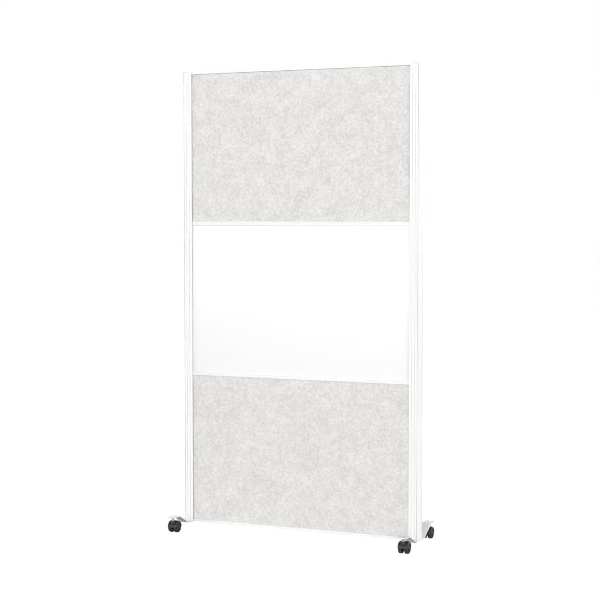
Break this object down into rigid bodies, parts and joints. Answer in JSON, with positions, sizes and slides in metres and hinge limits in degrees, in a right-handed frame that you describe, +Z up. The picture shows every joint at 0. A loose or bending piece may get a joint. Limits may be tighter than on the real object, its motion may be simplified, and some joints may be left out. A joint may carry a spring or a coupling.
{
  "type": "partition wall",
  "caption": "Mobile partition wall of stacked panel elements: grey felt above and below a white writing board, between slotted white posts on bent steel feet with black twin-wheel castors.",
  "frame": {"origin": "on the floor under the middle of the wall", "axes": "+Z up along the posts, X along the wall with the right-hand post at +X, -Y out of the front face"},
  "size_m": [1.002, 0.344, 1.828],
  "materials": {
    "white_profile": "fine satin powder coat on extruded aluminium",
    "white_steel": "satin powder coat on bent steel plate",
    "white_plastic": "matt moulded plastic",
    "white_enamel": "satin writing-board enamel on steel sheet",
    "grey_felt": "mottled light grey needled felt",
    "panel_core": "light pressed-fibre core, hidden",
    "mill_aluminium": "mill finish, hidden in the posts",
    "zinc_steel": "bright zinc plate",
    "black_nylon": "satin moulded nylon",
    "black_wheel": "matt moulded nylon"
  },
  "bodies": {
    "wall": {"stacking_dowels": "zinc_steel", "castor_stems": "zinc_steel", "stem_lock_nuts": "zinc_steel", "post_left": "white_profile", "post_cap_left": "white_plastic", "foot_left": "white_steel", "foot_screws_left": "zinc_steel", "connector_bolts_left": "zinc_steel", "thread_inserts_left": "zinc_steel", "hole_covers_left": "white_plastic", "post_right": "white_profile", "post_cap_right": "white_plastic", "foot_right": "white_steel", "foot_screws_right": "zinc_steel", "connector_bolts_right": "zinc_steel", "thread_inserts_right": "zinc_steel", "hole_covers_right": "white_plastic", "bottom_upper_rail": "white_profile", "bottom_lower_rail": "white_profile", "bottom_left_stile": "mill_aluminium", "bottom_right_stile": "mill_aluminium", "bottom_corner_keys": "zinc_steel", "bottom_panel_core": "panel_core", "bottom_front_felt": "grey_felt", "bottom_rear_felt": "grey_felt", "middle_upper_rail": "white_profile", "middle_lower_rail": "white_profile", "middle_left_stile": "mill_aluminium", "middle_right_stile": "mill_aluminium", "middle_corner_keys": "zinc_steel", "middle_panel_core": "panel_core", "middle_front_board": "white_enamel", "middle_rear_board": "white_enamel", "top_upper_rail": "white_profile", "top_lower_rail": "white_profile", "top_left_stile": "mill_aluminium", "top_right_stile": "mill_aluminium", "top_corner_keys": "zinc_steel", "top_panel_core": "panel_core", "top_front_felt": "grey_felt", "top_rear_felt": "grey_felt"},
    "front_left_swivel": {"front_left_castor_housing": "black_nylon", "front_left_castor_axle": "zinc_steel"},
    "front_right_swivel": {"front_right_castor_housing": "black_nylon", "front_right_castor_axle": "zinc_steel"},
    "rear_left_swivel": {"rear_left_castor_housing": "black_nylon", "rear_left_castor_axle": "zinc_steel"},
    "rear_right_swivel": {"rear_right_castor_housing": "black_nylon", "rear_right_castor_axle": "zinc_steel"},
    "front_left_left_wheel": {"front_left_castor_left_wheel": "black_wheel"},
    "front_left_right_wheel": {"front_left_castor_right_wheel": "black_wheel"},
    "front_right_left_wheel": {"front_right_castor_left_wheel": "black_wheel"},
    "front_right_right_wheel": {"front_right_castor_right_wheel": "black_wheel"},
    "rear_left_left_wheel": {"rear_left_castor_left_wheel": "black_wheel"},
    "rear_left_right_wheel": {"rear_left_castor_right_wheel": "black_wheel"},
    "rear_right_left_wheel": {"rear_right_castor_left_wheel": "black_wheel"},
    "rear_right_right_wheel": {"rear_right_castor_right_wheel": "black_wheel"}
  },
  "joints": [
    {"name": "front_left_castor_swivel", "type": "hinge", "parent": "wall", "child": "front_left_swivel", "pos_m": [-0.481, -0.154, 0.04], "axis": [0, 0, 1], "continuous": true},
    {"name": "front_left_left_wheel_spin", "type": "hinge", "parent": "front_left_swivel", "child": "front_left_left_wheel", "pos_m": [-0.4935, -0.142, 0.022], "axis": [1, 0, 0], "continuous": true},
    {"name": "front_left_right_wheel_spin", "type": "hinge", "parent": "front_left_swivel", "child": "front_left_right_wheel", "pos_m": [-0.4685, -0.142, 0.022], "axis": [1, 0, 0], "continuous": true},
    {"name": "front_right_castor_swivel", "type": "hinge", "parent": "wall", "child": "front_right_swivel", "pos_m": [0.481, -0.154, 0.04], "axis": [0, 0, 1], "continuous": true},
    {"name": "front_right_left_wheel_spin", "type": "hinge", "parent": "front_right_swivel", "child": "front_right_left_wheel", "pos_m": [0.4685, -0.142, 0.022], "axis": [1, 0, 0], "continuous": true},
    {"name": "front_right_right_wheel_spin", "type": "hinge", "parent": "front_right_swivel", "child": "front_right_right_wheel", "pos_m": [0.4935, -0.142, 0.022], "axis": [1, 0, 0], "continuous": true},
    {"name": "rear_left_castor_swivel", "type": "hinge", "parent": "wall", "child": "rear_left_swivel", "pos_m": [-0.481, 0.154, 0.04], "axis": [0, 0, 1], "continuous": true},
    {"name": "rear_left_left_wheel_spin", "type": "hinge", "parent": "rear_left_swivel", "child": "rear_left_left_wheel", "pos_m": [-0.4935, 0.142, 0.022], "axis": [1, 0, 0], "continuous": true},
    {"name": "rear_left_right_wheel_spin", "type": "hinge", "parent": "rear_left_swivel", "child": "rear_left_right_wheel", "pos_m": [-0.4685, 0.142, 0.022], "axis": [1, 0, 0], "continuous": true},
    {"name": "rear_right_castor_swivel", "type": "hinge", "parent": "wall", "child": "rear_right_swivel", "pos_m": [0.481, 0.154, 0.04], "axis": [0, 0, 1], "continuous": true},
    {"name": "rear_right_left_wheel_spin", "type": "hinge", "parent": "rear_right_swivel", "child": "rear_right_left_wheel", "pos_m": [0.4685, 0.142, 0.022], "axis": [1, 0, 0], "continuous": true},
    {"name": "rear_right_right_wheel_spin", "type": "hinge", "parent": "rear_right_swivel", "child": "rear_right_right_wheel", "pos_m": [0.4935, 0.142, 0.022], "axis": [1, 0, 0], "continuous": true}
  ]
}
